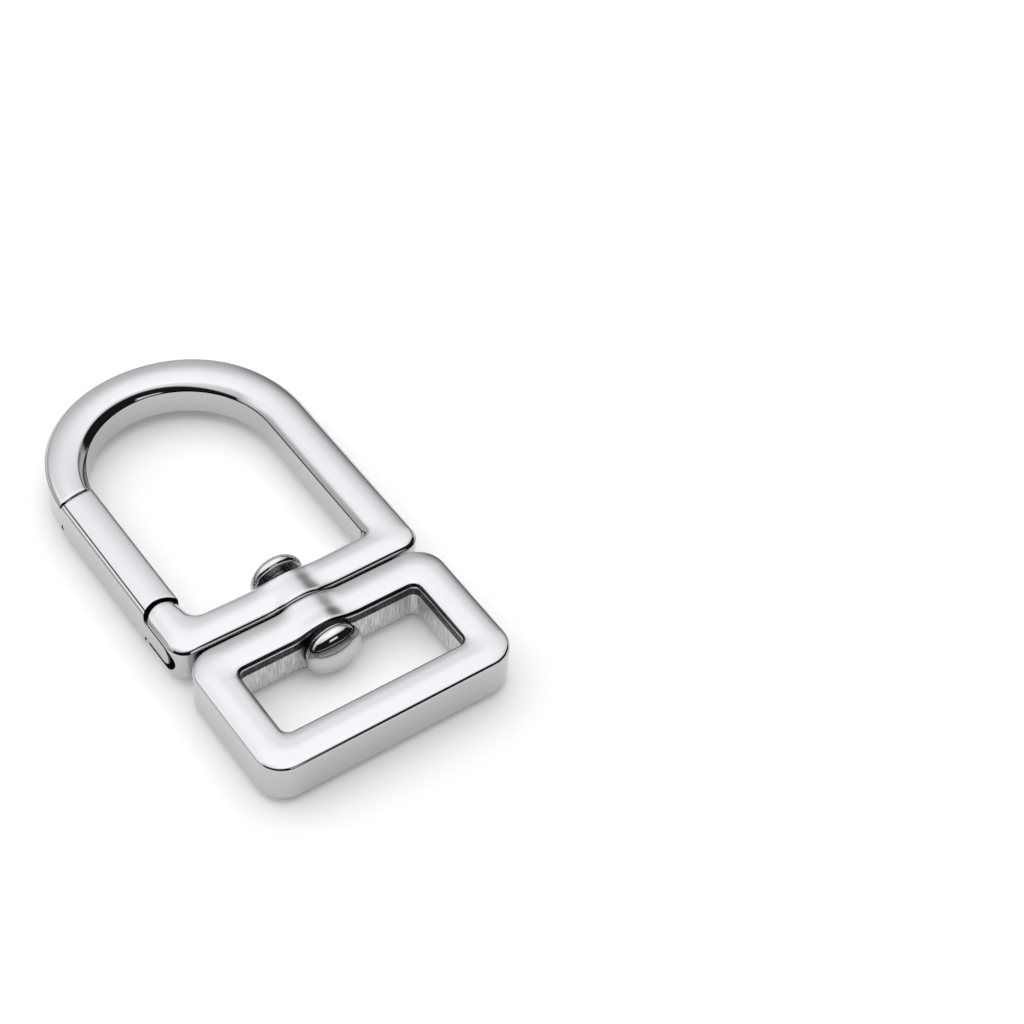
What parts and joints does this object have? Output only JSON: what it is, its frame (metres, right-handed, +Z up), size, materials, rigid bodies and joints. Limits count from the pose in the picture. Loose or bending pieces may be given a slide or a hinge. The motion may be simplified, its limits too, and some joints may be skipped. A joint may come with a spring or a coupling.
{
  "type": "swivel strap clasp",
  "caption": "Swivel strap clasp: a D-shaped snap hook with a sprung gate that opens inwards, and a rectangular strap loop that turns on a headed rivet.",
  "frame": {"origin": "under the middle of the clasp, on the surface it lies on", "axes": "+X across the strap, +Y along the clasp from the strap loop to the hook, +Z up from the surface it lies on"},
  "size_m": [0.0278, 0.0529, 0.0061],
  "materials": {
    "plated_casting": "polished bright nickel plate",
    "turned_rivet": "turned and plated",
    "pin_steel": "ground steel",
    "spring_steel": "drawn wire"
  },
  "bodies": {
    "hook": {"hook_frame": "plated_casting", "gate_hinge_pin": "pin_steel", "gate_spring": "spring_steel"},
    "gate": {"gate": "plated_casting"},
    "loop": {"strap_loop": "plated_casting", "swivel_rivet": "turned_rivet"}
  },
  "joints": [
    {"name": "gate_hinge", "type": "hinge", "parent": "hook", "child": "gate", "pos_m": [-0.012, -0.00525, 0.00305], "axis": [0, 0, -1], "range_deg": [0, 40], "stiffness_Nm_per_rad": 0.006, "springref_deg": -20.05, "deforming": ["gate_spring"]},
    {"name": "loop_swivel", "type": "hinge", "parent": "hook", "child": "loop", "pos_m": [0, -0.01, 0.00305], "axis": [0, 1, 0], "continuous": true}
  ]
}
